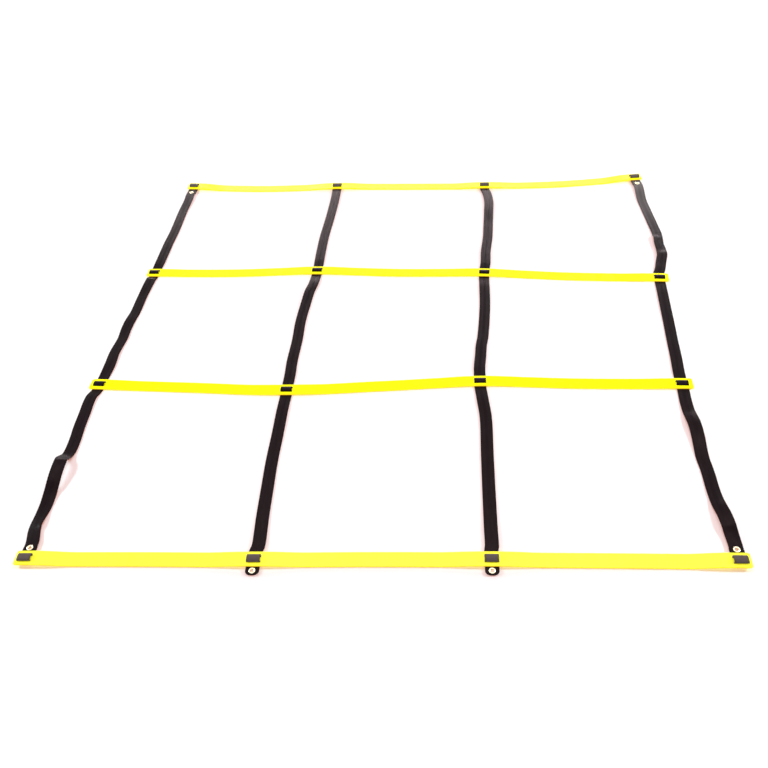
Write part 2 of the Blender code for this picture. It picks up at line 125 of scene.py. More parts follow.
print("Halfway between 0 and 1 the line is at", smooth_line([0, 1], [0, 1])(0.5))

# %% [markdown]
# ## How the rungs lie
#
# Each rung is a flat strip of plastic with two slots at each of its four crossings, a narrow
# bridge between them and a wider bar on either side. The rungs lie on the floor and rise a little
# over the webbing. These are the sizes of the CAD model, and each rung's bow is given by how far
# its centre line strays at seven places along it. In the picture some crossings are shifted along
# their rung by a few millimetres. Rungs and straps are counted from 0 to 3, so the middle of
# either four is at 1.5.

# %% Sizes of the rungs
ROWS = ("front", "second", "third", "rear")
STRAPS = ("left_outer", "left_inner", "right_inner", "right_outer")
PITCH = 0.42
MIDDLE = 1.5
WEBBING_WIDTH = 0.025
WEBBING_THICKNESS = 0.0014
RUNG_THICKNESS = 0.003
BAR_WIDTH = 0.008
BRIDGE_WIDTH = 0.0075
SLOT_WIDTH = 0.0032
SLOT_REACH = 0.01325
END_MARGIN = 0.00475
LEVEL_MARGIN = 0.003
SLOT_CENTRE = (BRIDGE_WIDTH + SLOT_WIDTH) / 2
RUNG_WIDTH = BRIDGE_WIDTH + 2 * SLOT_WIDTH + 2 * BAR_WIDTH
RUNG_REACH = MIDDLE * PITCH + SLOT_REACH + END_MARGIN
LEVEL_REACH = SLOT_REACH + LEVEL_MARGIN
RISE_LENGTH = 0.08
SEAT = 0.0003
UNDER_EYELET = 0.0013

RUNG_SHIFT = (-0.016, -0.019, 0.003, 0.0165)
RUNG_LIE = (
    (-0.0075, -0.0055, -0.005, -0.002, -0.001, -0.001, -0.0015),
    (0.0285, 0.017, 0.006, 0.0165, 0.028, 0.019, 0.015),
    (0.0205, 0.014, 0.017, 0.0025, -0.005, -0.026, -0.0385),
    (0.020, 0.002, 0.002, -0.0075, -0.0155, -0.016, 0.0045),
)
SLOT_SHIFT = (
    (0.0, 0.0, 0.0, 0.0),
    (0.0023, 0.0036, -0.0016, -0.0038),
    (0.0, 0.0018, 0.0, -0.0033),
    (0.0, 0.0030, 0.0026, 0.0),
)
print("A rung in millimetres:", round(RUNG_WIDTH * 1000, 1), "x", round(RUNG_REACH * 2000, 1))

# %% Where a rung's centre line and underside are


def strap_place(row, strap):
    return (strap - MIDDLE) * PITCH + SLOT_SHIFT[row][strap]


def rung_bow(row):
    """How far back the rung's centre line lies at each distance along it."""
    places = [(i / 2 - MIDDLE) * PITCH for i in range(len(RUNG_LIE[row]))]
    return smooth_line(places, [(row - MIDDLE) * PITCH + stray for stray in RUNG_LIE[row]])


def is_outer(strap):
    return strap in (0, 3)


def is_end(row):
    return row in (0, 3)


def lowest_layer(row, strap):
    """The height of the lowest webbing under the rung. Eyelets lift what they clamp."""
    return UNDER_EYELET if is_end(row) and (is_outer(strap) or row == 0) else 0.0


def cell_layer(row, strap):
    """The height of the webbing that runs on into the cells. It is the upper one of two layers
    where the strap's own end is folded back or tucked under the rung."""
    doubled = is_end(row) and (is_outer(strap) or row == 3)
    return lowest_layer(row, strap) + (WEBBING_THICKNESS + SEAT if doubled else 0.0)


def rung_lift(row, strap):
    return cell_layer(row, strap) + WEBBING_THICKNESS + SEAT


def rung_height(row, along):
    """The height of the rung's underside, which rises like a low wave over each strap."""
    height = 0.0
    for strap in range(4):
        away = abs(along - strap_place(row, strap)) - LEVEL_REACH
        share = min(max(away / RISE_LENGTH, 0.0), 1.0)
        height = max(height, rung_lift(row, strap) * (1 + math.cos(math.pi * share)) / 2)
    return height


def crossing(row, strap):
    """The middle of a crossing on the floor, and the directions along and across the rung."""
    bow = rung_bow(row)
    along = strap_place(row, strap)
    left = Vector((along - SLOT_REACH, bow(along - SLOT_REACH), 0))
    right = Vector((along + SLOT_REACH, bow(along + SLOT_REACH), 0))
    direction = (right - left).normalized()
    across = Vector((-direction.y, direction.x, 0))
    return (left + right) / 2 + Vector((RUNG_SHIFT[row], 0, 0)), direction, across


print("Rung lifts in millimetres:",
      [[round(rung_lift(row, strap) * 1000, 1) for strap in range(4)] for row in range(4)])

# %% [markdown]
# ## Writing shader maths as sums
#
# A material is a graph of nodes, which is hard to read line by line. A small class can wrap a
# node's output so that `1 - mask` or `height * 0.5` adds the Math node by itself. Every other
# node comes from one method, which takes the node's type, its settings, and what its sockets
# hold or are linked to. Colours go through Mix nodes, because a Math node would turn them grey.

# %% A value that varies over a surface


class Varying:
    """A node's output that can be used in sums."""

    def __init__(self, finish, socket):
        self.finish = finish
        self.socket = socket

    def sum_of(self, operation, first, second=0.0):
        return self.finish.node("ShaderNodeMath", {"operation": operation}, {0: first, 1: second})

    def __add__(self, other):
        return self.sum_of("ADD", self, other)

    def __sub__(self, other):
        return self.sum_of("SUBTRACT", self, other)

    def __rsub__(self, other):
        return self.sum_of("SUBTRACT", other, self)

    def __mul__(self, other):
        return self.sum_of("MULTIPLY", self, other)

    def __truediv__(self, other):
        return self.sum_of("DIVIDE", self, other)

    def __mod__(self, other):
        return self.sum_of("FLOORED_MODULO", self, other)

    def __abs__(self):
        return self.sum_of("ABSOLUTE", self)

    __radd__ = __add__


class Finish:
    """The shader of a material or of the world, and the one way to add nodes to it."""

    def __init__(self, owner, shader="Principled BSDF"):
        owner.use_nodes = True
        self.owner = owner
        self.nodes = owner.node_tree.nodes
        self.shader = self.nodes[shader]

    def fill(self, node, sockets):
        for key, value in sockets.items():
            if isinstance(value, Varying):
                self.owner.node_tree.links.new(value.socket, node.inputs[key])
            else:
                node.inputs[key].default_value = value

    def node(self, kind, settings=None, sockets=None, out=0):
        """Adds a node: its settings first, then what its sockets hold or are linked to."""
        made = self.nodes.new(kind)
        for setting, value in (settings or {}).items():
            if setting == "stops":
                ramp = made.color_ramp
                while len(ramp.elements) < len(value):
                    ramp.elements.new(0.5)
                for element, (place, colour) in zip(ramp.elements, value):
                    element.position = place
                    element.color = colour
            else:
                setattr(made, setting, value)
        self.fill(made, sockets or {})
        return Varying(self, made.outputs[out])

    def coordinates(self, kind):
        return self.node("ShaderNodeTexCoord", {}, {}, out=kind)

    def noise(self, place, scale, detail, roughness=0.5):
        sockets = {"Vector": place, "Scale": scale, "Detail": detail, "Roughness": roughness}
        return self.node("ShaderNodeTexNoise", {}, sockets)

    def between(self, value, start, end):
        """0 where the value is at start, 1 where it is at end, and smooth between them."""
        sockets = {"Value": value, "From Min": start, "From Max": end}
        return self.node("ShaderNodeMapRange", {"interpolation_type": "SMOOTHSTEP"}, sockets)

    def blended(self, share, first, second):
        """A colour between two others."""
        settings = {"data_type": "RGBA"}
        return self.node("ShaderNodeMix", settings, {0: share, 6: first, 7: second}, out=2)

    def stretched(self, place, scales):
        """A place with its three numbers scaled, so that a texture is drawn out."""
        settings = {"operation": "MULTIPLY"}
        return self.node("ShaderNodeVectorMath", settings, {0: place, 1: scales})

    def parts_of(self, place):
        """The three numbers of a place."""
        separated = self.node("ShaderNodeSeparateXYZ", {}, {0: place}).socket.node
        return [Varying(self, output) for output in separated.outputs]

    def bumped(self, height, distance, strength):
        sockets = {"Height": height, "Distance": distance, "Strength": strength}
        return self.node("ShaderNodeBump", {}, sockets)


print("Methods of a finish:", [name for name in vars(Finish) if not name.startswith("_")])

# %% [markdown]
# ## The finish of the rungs
#
# The rungs are moulded in a lemon yellow plastic that lets light through. Its faces are satin,
# with the faint orange-peel of a mould, and light of the floor comes up through them. The thin
# edges look deeper, almost orange, because there the light has crossed more plastic, and that
# shade is painted into their base colour. Light that comes out at the sides and underneath tints
# the floor. All of that light is written here as emission, which is simple but doesn't dim with
# the lamps, so these rungs glow in the dark. Where black webbing lies under a bar, less light
# comes through, and the bar is painted a darker yellow as painted shade. Shoes leave fine scuffs,
# and the front rung is painted paler, a painted highlight for the glare it catches. Each of these
# is a mask, and the masks mix colours and change the roughness.
# The map called "place" holds the distances along and across the rung in metres.

# %% Yellow rung plastic
LEMON = (0.96, 0.93, 0.002, 1)
LEMON_DEEP = (0.95, 0.88, 0.002, 1)
# Painted shade: the deeper orange of the rungs' side faces.
LEMON_EDGE_PAINTED_SHADE = (0.85, 0.46, 0.02, 1)
# Painted shade: the darker yellow of the bars over black webbing.
LEMON_SHADED = (0.9, 0.6, 0.006, 1)
LEMON_SCUFFED = (0.93, 0.89, 0.1, 1)
# Painted highlight: the paler yellow of the front rung, for the glare it catches.
LEMON_PAINTED_GLARE = (0.96, 0.93, 0.065, 1)
LIGHT_THROUGH = (0.58, 0.37, 0.012, 1)
FACE_GLOW = (0.25, 0.23, 0.0, 1)
DARK = (0.0, 0.0, 0.0, 1)
BESIDE_STRAP = (0.0145, 0.0115)
FRONT_RUNG = (-0.5, -0.55)


def rung_plastic():
    finish = Finish(bpy.data.materials.new("rung plastic"))
    place = finish.node("ShaderNodeUVMap", {"uv_map": "place"})
    along, across, _ = finish.parts_of(place)
    solid = finish.coordinates("Object")
    _, back, _ = finish.parts_of(solid)
    _, _, facing_up = finish.parts_of(finish.coordinates("Normal"))

    mottled = finish.between(finish.noise(solid, 14.0, 5.0), 0.3, 0.75)
    side = finish.between(abs(facing_up), 0.9, 0.2)
    thin_edge = finish.between(facing_up, 0.9, 0.2)
    from_strap = abs((along + 2 * PITCH) % PITCH - PITCH / 2)
    over_strap = finish.between(from_strap, *BESIDE_STRAP)
    on_bar = finish.between(abs(across), SLOT_CENTRE, SLOT_CENTRE + SLOT_WIDTH)
    long_scratches = finish.noise(finish.stretched(solid, (0.12, 1.0, 1.0)), 900.0, 4.0, 0.7)
    patches = finish.between(finish.noise(solid, 22.0, 2.0), 0.55, 0.72)
    scuffs = finish.between(long_scratches, 0.6, 0.72) * patches
    # Painted highlight: picks out the front rung, which is painted paler for its glare.
    painted_glare = finish.between(back, *FRONT_RUNG)

    colour = finish.blended(mottled * 0.4, LEMON, LEMON_DEEP)
    colour = finish.blended(painted_glare, colour, LEMON_PAINTED_GLARE)
    # Painted shade: bars over black webbing let less light through and are painted darker.
    colour = finish.blended(over_strap * on_bar * 0.25, colour, LEMON_SHADED)
    # Painted shade: side faces are painted a deeper orange, for light that has crossed more
    # plastic.
    colour = finish.blended(side * 0.85, colour, LEMON_EDGE_PAINTED_SHADE)
    colour = finish.blended(scuffs * 0.35, colour, LEMON_SCUFFED)
    peel = finish.noise(solid, 1300.0, 2.0)
    hollows = finish.noise(solid, 60.0, 2.0)
    height = peel * 0.25 + hollows - scuffs * 0.5
    finish.fill(finish.shader, {
        "Base Color": colour,
        "Roughness": 0.24 + mottled * 0.05 + scuffs * 0.3 + side * 0.06,
        "Normal": finish.bumped(height, 0.00006, 0.4),
        "Emission Color": finish.blended(thin_edge, FACE_GLOW, LIGHT_THROUGH),
        "Emission Strength": 1.0,
        "Specular IOR Level": 0.09,
        "IOR": 1.49,
    })
    return finish.owner


RUNG_PLASTIC = rung_plastic()
print("Rung plastic has", len(RUNG_PLASTIC.node_tree.nodes), "nodes")

# %% [markdown]
# ## The rungs
#
# It is simplest to lay out only a rung's upper face, as a sheet of columns that stand square to
# the bowed centre line, and to leave the slots out of it. A Solidify modifier gives the sheet its
# thickness, and a Bevel modifier rounds every sharp edge. Near a slot's end the columns stand
# close together and draw the slot in, so that its corners are round.

# %% One rung
RUNG_STEP = 0.007
END_CORNER = 0.004
SLOT_CORNER = 0.001
SLOT_END = 0.0129
SLOT_CLEARANCE = 0.0015
SLOT_CORNER_SHARES = (0.3, 0.75, 1.0)
END_CORNER_SHARES = (0.25, 0.5, 0.7, 0.87, 0.97, 1.0)
EDGE_ROUNDING = 0.0007
SLOPE_STEP = 0.001
SHARP = math.radians(50)


def corner_drop(past, radius):
    """How far a rounded corner has drawn an edge in, at a distance past its start."""
    past = min(max(past, 0.0), radius)
    return radius - math.sqrt(max(radius**2 - past**2, 0.0))


def rung_columns(row):
    """Distances along a rung, each with half the slots' width there, or None."""
    columns = {}
    steps = math.ceil(2 * (RUNG_REACH - END_CORNER) / RUNG_STEP)
    for i in range(steps + 1):
        columns[(2 * i / steps - 1) * (RUNG_REACH - END_CORNER)] = None
    for strap in range(4):
        middle = strap_place(row, strap)
        near = SLOT_END + SLOT_CLEARANCE
        columns = {c: w for c, w in columns.items() if abs(c - middle) > near}
        for i in range(-3, 4):
            columns[middle + i / 3 * (SLOT_END - SLOT_CORNER)] = SLOT_WIDTH / 2
        for side in (-1, 1):
            for share in SLOT_CORNER_SHARES:
                drop = corner_drop(share * SLOT_CORNER, SLOT_CORNER)
                end = middle + side * (SLOT_END - (1 - share) * SLOT_CORNER)
                columns[end] = SLOT_WIDTH / 2 - drop
    for side in (-1, 1):
        for share in END_CORNER_SHARES:
            columns[side * (RUNG_REACH - (1 - share) * END_CORNER)] = None
    return sorted(columns.items())


def rung_sheet(row):
    """The upper face of a rung as a mesh with slots, and its map of places."""
    bow = rung_bow(row)
    corners, places, lines = [], [], []
    for along, slot in rung_columns(row):
        rise = bow(along + SLOPE_STEP) - bow(along - SLOPE_STEP)
        across = Vector((-rise, 2 * SLOPE_STEP, 0)).normalized()
        top = rung_height(row, along) + RUNG_THICKNESS
        middle = Vector((RUNG_SHIFT[row] + along, bow(along), top))
        half = RUNG_WIDTH / 2 - corner_drop(abs(along) - RUNG_REACH + END_CORNER, END_CORNER)
        offsets = [-half, half]
        if slot is not None:
            edges = [SLOT_CENTRE - slot, SLOT_CENTRE + slot]
            offsets = [-half, -edges[1], -edges[0], edges[0], edges[1], half]
        lines.append(range(len(corners), len(corners) + len(offsets)))
        corners += [middle + across * offset for offset in offsets]
        places += [(along, offset) for offset in offsets]
    faces = []
    for left, right in zip(lines, lines[1:]):
        if len(left) == len(right) == 6:
            faces += [(left[i], right[i], right[i + 1], left[i + 1]) for i in (0, 2, 4)]
        else:
            faces.append((*reversed(left), *right))
    return corners, faces, places


def add_piece(name, corners, faces, material, places=None, map_name="place"):
    """A mesh object at the origin, with a map of places if there is one."""
    mesh = bpy.data.meshes.new(name)
    mesh.from_pydata(corners, [], faces)
    mesh.materials.append(material)
    if places:
        layer = mesh.uv_layers.new(name=map_name)
        for loop in mesh.loops:
            layer.data[loop.index].uv = places[loop.vertex_index]
    mesh.shade_smooth()
    piece = bpy.data.objects.new(name, mesh)
    bpy.context.scene.collection.objects.link(piece)
    return piece


def add_rung(row):
    corners, faces, places = rung_sheet(row)
    rung = add_piece(f"moulded_rung_{ROWS[row]}", corners, faces, RUNG_PLASTIC, places)
    thicken = rung.modifiers.new("thickness", "SOLIDIFY")
    thicken.thickness = RUNG_THICKNESS
    thicken.offset = -1
    ease = rung.modifiers.new("eased edges", "BEVEL")
    ease.width = EDGE_ROUNDING
    ease.segments = 3
    ease.limit_method = "ANGLE"
    ease.angle_limit = SHARP
    ease.use_clamp_overlap = False
    ease.harden_normals = True
    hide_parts(f"rung_{ROWS[row]}")
    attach(rung, f"row_{ROWS[row]}")
    return rung


rungs = [add_rung(row) for row in range(4)]
print("Rungs:", [rung.name for rung in rungs], "with", len(rungs[0].data.vertices), "corners each")

# %% [markdown]
# ## The finish of the webbing
#
# Thick warp yarns run lengthwise as ribs a little over a millimetre apart, and the weft passes
# over and under them in short steps that are set off from one rib to the next. The grooves
# between the ribs are painted darker as painted shade. The yarn is black but shiny, so the
# webbing looks grey where it mirrors a lamp, and a faint fuzz softens its edges. The loops over
# the end rungs are painted grey, and the outer straps a lighter grey towards the rear, both as
# painted sheen. The map called "run" holds the distances across the webbing and along it.

# %% Black webbing
RIB_PITCH = 0.00115
PICK_PITCH = 0.0026
WARP_BLACK = (0.006, 0.0025, 0.0035, 1)
WARP_BROWN = (0.0105, 0.0045, 0.0055, 1)
# Painted shade: the colour of the grooves between the ribs.
GROOVE_PAINTED_SHADE = (0.004, 0.0025, 0.003, 1)
# Grey of real lint, and also of the painted sheen on the rear outer straps.
LINT_AND_SHEEN_GREY = (0.15, 0.13, 0.13, 1)
FUZZ_GREY = (0.6, 0.52, 0.53, 1)
# Painted sheen: the grey of the loops over the end rungs.
LOOP_SHEEN_GREY = (0.105, 0.075, 0.068, 1)
THREAD_TINT = (1.0, 0.67, 0.7, 1)
RIBS_BEFORE = 20.5
SELVEDGE = (0.0112, 0.012)
END_LOOPS = (0.585, 0.595)
LOOP_TOPS = (0.0064, 0.0082)
# Painted sheen: where the outer straps are painted lighter towards the rear.
SHEEN_SIDE = (0.45, 0.55)
SHEEN_REAR = (0.25, 0.6)
SHEEN_LEFT = 0.14
SHEEN_RIGHT = 0.45


def loops_painted_sheen(finish):
    """1 on the loops over the two end rungs, the highest webbing there, for a painted sheen grey.
    """
    _, back, up = finish.parts_of(finish.coordinates("Object"))
    return finish.between(abs(back), *END_LOOPS) * finish.between(up, *LOOP_TOPS)


def sheen_painted_ends(finish):
    """How much painted sheen the outer straps get near the rear rung. The right one gets more."""
    side, back, _ = finish.parts_of(finish.coordinates("Object"))
    left = finish.between(side, -SHEEN_SIDE[0], -SHEEN_SIDE[1])
    right = finish.between(side, *SHEEN_SIDE)
    return finish.between(back, *SHEEN_REAR) * (left * SHEEN_LEFT + right * SHEEN_RIGHT)


def black_webbing():
    finish = Finish(bpy.data.materials.new("black webbing"))
    run = finish.node("ShaderNodeUVMap", {"uv_map": "run"})
    across, along, _ = finish.parts_of(run)

    ribs = (across + RIBS_BEFORE * RIB_PITCH) / RIB_PITCH
    from_rib = (ribs % 1.0) * 2 - 1
    ridge = 1 - from_rib * from_rib
    odd_rib = finish.between(ribs % 2.0, 0.999, 1.001)
    from_pick = ((along / PICK_PITCH + odd_rib * 0.5) % 1.0) * 2 - 1
    swell = 1 - from_pick * from_pick
    selvedge = finish.between(abs(across), *SELVEDGE)
    weave = ridge * (0.45 + swell * 0.55) * (1 - selvedge) + selvedge * (0.5 + swell * 0.3)

    def drawn_out(across_scale, along_scale, detail):
        return finish.noise(finish.stretched(run, (across_scale, along_scale, 1.0)), 1.0, detail)

    fibres = drawn_out(9000.0, 420.0, 2.0)
    bands = drawn_out(260.0, 9.0, 3.0)
    lint_mask = finish.between(drawn_out(1500.0, 700.0, 1.0), 0.74, 0.8)
    dust = finish.between(drawn_out(60.0, 14.0, 4.0), 0.45, 0.8)

    colour = finish.blended(finish.between(bands, 0.35, 0.65), WARP_BLACK, WARP_BROWN)
    # Painted shade: the grooves between the ribs are painted darker.
    colour = finish.blended((1 - weave) * 0.8, colour, GROOVE_PAINTED_SHADE)
    colour = finish.blended(lint_mask * 0.4 + dust * 0.03, colour, LINT_AND_SHEEN_GREY)
    # Painted sheen: the outer straps are painted a lighter grey towards the rear.
    colour = finish.blended(sheen_painted_ends(finish), colour, LINT_AND_SHEEN_GREY)
    # Painted sheen: the loops over the end rungs are painted grey.
    colour = finish.blended(loops_painted_sheen(finish), colour, LOOP_SHEEN_GREY)
    rubbed = finish.between(bands, 0.5, 0.7) + finish.between(abs(across), 0.005, 0.001)
    height = weave + fibres * 0.25
    finish.fill(finish.shader, {
        "Base Color": colour,
        "Roughness": 0.3 - weave * 0.05 + fibres * 0.06 - rubbed * 0.08,
        "Normal": finish.bumped(height, 0.00012, 0.6),
        "Specular IOR Level": 0.075,
        "Specular Tint": THREAD_TINT,
        "Sheen Weight": 0.01,
        "Sheen Roughness": 0.4,
        "Sheen Tint": FUZZ_GREY,
    })
    return finish.owner


BLACK_WEBBING = black_webbing()
print("Black webbing has", len(BLACK_WEBBING.node_tree.nodes), "nodes")

# %% [markdown]
# ## The webbing's way round a rung
#
# Seen from the side, the webbing runs under a bar, up through a slot, over the bridge, down
# through the other slot and out under the other bar. At the corners it comes back under itself
# and an eyelet clamps the two layers. This way is written as a few corner points, each the
# distance across the rung and the height, and then the corners are rounded.

# %% Round the corners of a way
BEND_RADIUS = 0.0011
BEND_STEPS = 6


def rounded(points, radius, steps):
    way = [points[0]]
    for before, corner, after in zip(points, points[1:], points[2:]):
        into = (corner - before).normalized()
        out = (after - corner).normalized()
        bend = into.angle(out)
        start = corner - into * radius * math.tan(bend / 2)
        centre = start + (out - into * into.dot(out)).normalized() * radius
        arm = start - centre
        for step in range(steps + 1):
            angle = bend * step / steps
            way.append(centre + arm * math.cos(angle) + into * radius * math.sin(angle))
    way.append(points[-1])
    return way


corner = [Vector((0, 0, 0)), Vector((0, 1, 0)), Vector((0, 1, 1))]
print("A rounded corner has", len(rounded(corner, 0.1, BEND_STEPS)), "points")

# %% The way of the webbing at each kind of crossing
EXIT_RUN = 0.002
LOOP_REACH = (0.0075, 0.0064, 0.0064, 0.0066)
LOOP_RISE = (0.0043, 0.0032, 0.0033, 0.0048)
LOOP_STEPS = 18
EYELET_RADIUS = 0.006
EYELET_GAPS = (0.0025, 0, 0, 0.0105)
FOLDED_MARGIN = 0.005
TUCK_COVER = 0.002
TAIL_GAP = 0.0008
TAIL_MARGIN = 0.003
TAIL_HINGE = RUNG_WIDTH / 2 + TAIL_GAP
TAIL_EYELET = TAIL_HINGE + TAIL_GAP + EYELET_RADIUS
TAIL_REACH = TAIL_EYELET + EYELET_RADIUS + TAIL_MARGIN
BAR_MIDDLE = RUNG_WIDTH / 2 - BAR_WIDTH / 2
HALF_SEAM = 0.0001


def eyelet_reach(row, strap):
    """How far an eyelet's centre is from the middle of its rung."""
    if not is_outer(strap):
        return TAIL_EYELET
    return RUNG_WIDTH / 2 + EYELET_GAPS[row] + EYELET_RADIUS


def folded_reach(row):
    return eyelet_reach(row, 0) + EYELET_RADIUS + FOLDED_MARGIN


def bridge_loop(reach, rise):
    """The webbing's loop over a bridge: stiff webbing bulges out over both bars."""
    start = -math.acos(SLOT_CENTRE / reach)
    half_height = rise / (1 - math.sin(start))
    turn = (math.pi - 2 * start) / LOOP_STEPS
    angles = [start + turn * step for step in range(1, LOOP_STEPS)]
    middle = -half_height * math.sin(start)
    return [(-reach * math.cos(a), middle + half_height * math.sin(a)) for a in angles]


def crossing_way(row, strap):
    """The webbing's middle at a crossing as (point, direction of its width), front to rear.

    It is written for the rear side, with the loose end behind. The front row is its mirror."""
    half = WEBBING_THICKNESS / 2
    low = lowest_layer(row, strap) + half
    cell = cell_layer(row, strap) + half
    rim = rung_lift(row, strap) + RUNG_THICKNESS
    outside = RUNG_WIDTH / 2 + EXIT_RUN
    if not is_end(row):
        end = outside
    elif is_outer(strap):
        end = -folded_reach(row)
    else:
        end = BAR_MIDDLE if row == 0 else TUCK_COVER - RUNG_WIDTH / 2
    loop = [(y, rim + z) for y, z in bridge_loop(LOOP_REACH[row], LOOP_RISE[row])]
    up = [(-outside, cell), (-SLOT_CENTRE, cell), (-SLOT_CENTRE, rim), loop[0]]
    down = [loop[-1], (SLOT_CENTRE, rim), (SLOT_CENTRE, low), (end, low)]
    up, loop, down = ([Vector((0, *corner)) for corner in leg] for leg in (up, loop[1:-1], down))
    points = rounded(up, BEND_RADIUS, BEND_STEPS) + loop + rounded(down, BEND_RADIUS, BEND_STEPS)
    centre, along, across = crossing(row, strap)
    mirror = -1 if row == 0 else 1
    way = [(centre + across * p.y * mirror + Vector((0, 0, p.z)), along) for p in points]
    return way[::-1] if row == 0 else way


print("Corner eyelets from their rungs' middles, in millimetres:",
      [round(eyelet_reach(row, 0) * 1000, 2) for row in (0, 3)])

# %% [markdown]
# ## How the webbing wanders
#
# Between two rungs the webbing isn't taut. It drifts sideways, rises in low arches, and one edge
# may stand higher than the other, above all at a crease. Each cell's stretch is written as a few
# knots. A knot has the share of the way from one rung to the next in per cent, and in millimetres
# how far the webbing strays to the right, how high its middle rises and how much its left edge
# stands above its right.

# %% Knots of the webbing in each cell, from the front to the rear
WANDER = (
    (
        ((14, -7.2, 1.2, -2), (17, -8.1, 2.1, -4), (21, -6.8, 1.5, -2), (25, -5.4, 1.4, 2),
         (28, -4.9, 2.4, 4), (33, -5.3, 5.2, 6), (38.5, -6.0, 10, 6), (42, -6.8, 12, 5),
         (46, -7.2, 13.4, 5), (49.5, -7.7, 13.0, 6), (51, -8.0, 11.2, 5), (52.5, -6.5, 7.0, 3),
         (54.5, -4.3, 3.0, 1), (58, -2.5, 1.6, 2), (64, -2.9, 1.4, 2),
         (72, -5.6, 1.4, 2), (80, -6.5, 1.6, 2), (91, -7.7, 1.8, 1)),
        ((15, 1.4, 2.4, 3), (26, -2.4, 1.4, 0), (38, -0.3, 0.7, 0), (46, -2.3, 1.4, 2),
         (53, -2.3, 1.8, 3), (62, -0.7, 0.6, 1), (76, -2.5, 0.6, 0), (89, -1.7, 2.0, 3),
         (94, -1.0, 1.9, 3)),
        ((10, 1.4, 1.8, 2), (22, 1.0, 1.9, 3), (32, 0.3, 1.8, 3), (46, 1.1, 1.3, 2),
         (70, -1.8, 1.3, 1), (84, -0.9, 2.6, 0)),
    ),
    (
        ((7, 3.1, 1.4, 0), (14, 2.2, 0.9, 0), (22, 0.4, 0.4, 0), (38, -1.3, 0.2, 0),
         (54, -2.7, 0, 0), (70, -1.6, 0.3, 0), (86, -1.2, 0.9, 0)),
        ((12, -1.8, 0.6, 0), (22, -4.8, 0.2, 0), (38, -5.6, 0.2, 0), (54, -9.1, 0.6, 0),
         (70, -7.6, 1.3, 2), (80, -5.8, 2.0, 3), (88, -1.2, 1.8, 0)),
        ((12, -1.2, 0.9, 0), (22, -2.5, 0.6, 0), (38, -3.2, 0.3, 0), (54, -1.0, 0.4, 0),
         (70, 0.8, 0.8, 0), (86, 1.3, 1.4, 0)),
    ),
    (
        ((7, 2.0, 1.4, 0), (14, 2.1, 1.1, 0), (22, 2.5, 0.7, 0), (38, 3.5, 0.3, 0),
         (54, 4.8, 0.3, 0), (76, 6.9, 0.6, 0), (88, 3.0, 1.0, 0)),
        ((12, -2.3, 1.3, 0), (22, -1.0, 0.8, 0), (30, -0.4, 0.5, 0), (38, 2.4, 0.2, 0),
         (54, 4.2, 0, 0), (70, 4.2, 0.5, 0), (86, 1.7, 1.1, 0)),
        ((10, 3.0, 1.3, 0), (22, 3.7, 1.0, 0), (38, 8.6, 0.6, 0), (54, 10.3, 0.6, 0),
         (70, 11.7, 1.8, 0), (80, 12.0, 2.0, 0), (90, 7.0, 1.8, 0)),
    ),
    (
        ((13.5, -0.4, 5.2, -3), (17, -1.2, 7.8, -5), (22, -2.6, 7.4, -6), (27, -5.2, 5, -5),
         (31, -5.8, 2.4, -3), (37, -5.8, 0.8, -1), (46, -4.9, 0.5, -1), (54, -6.2, 1, -2),
         (60, -4.7, 2.8, -3), (66, -3.2, 5.4, -5), (73, -2.7, 6.6, -5), (78, -3.8, 4.6, -4),
         (82, -4.3, 2, -2), (88, -3.5, 0.8, -1)),
        ((12, -1.0, 0.8, 0), (22, -0.2, 0.5, 0), (38, -0.3, 0.2, 0), (54, 0.1, 0.2, 0),
         (70, 0.0, 0.7, 0), (86, 0.1, 0.8, 0)),
        ((8, 7.4, 1.2, 0), (14, 13.5, 1.8, -1), (19, 19.3, 3.4, -2), (21.5, 20.7, 3.8, -2),
         (25, 21.2, 2.8, 1), (31, 20.1, 2.8, 4), (36, 21.6, 2.8, 5), (38.5, 21.8, 1.0, 1),
         (42, 21.5, 0.6, 0), (48, 18.6, 0.5, 0), (56, 14.9, 0.4, 0), (66, 10.2, 0.4, 0),
         (76, 5.9, 0.9, 0)),
    ),
)
print("Knots in all:", sum(len(knots) for strap in WANDER for knots in strap))

# %% The webbing between two rungs
CELL_STEP = 0.0035
RIVETED_CLEARANCE = 0.004
FOLD_RUNS = (0.016, 0.032, 0.016)
FOLD_STEPS = 24
FOLDS = ("fold_front", "fold_middle", "fold_rear")
ROCKING = ((0.03, 31, 1), (0.02, 73, 2))
STRAP_PHASE = 2.1
CELL_PHASE = 1.3
LOOSE_ABOVE = 0.0012
LOOSE_OVER = 0.003
fold_places = {joint["name"]: joint["pos_m"][1] for joint in frame["joints"]}


def past_eyelet(row, strap, side):
    """Where the webbing leaves the stretch that is riveted to its own end."""
    centre, _, across = crossing(row, strap)
    point = centre + across * side * (folded_reach(row) + EXIT_RUN)
    return point.y, point.x, cell_layer(row, strap) + WEBBING_THICKNESS / 2, 0.0


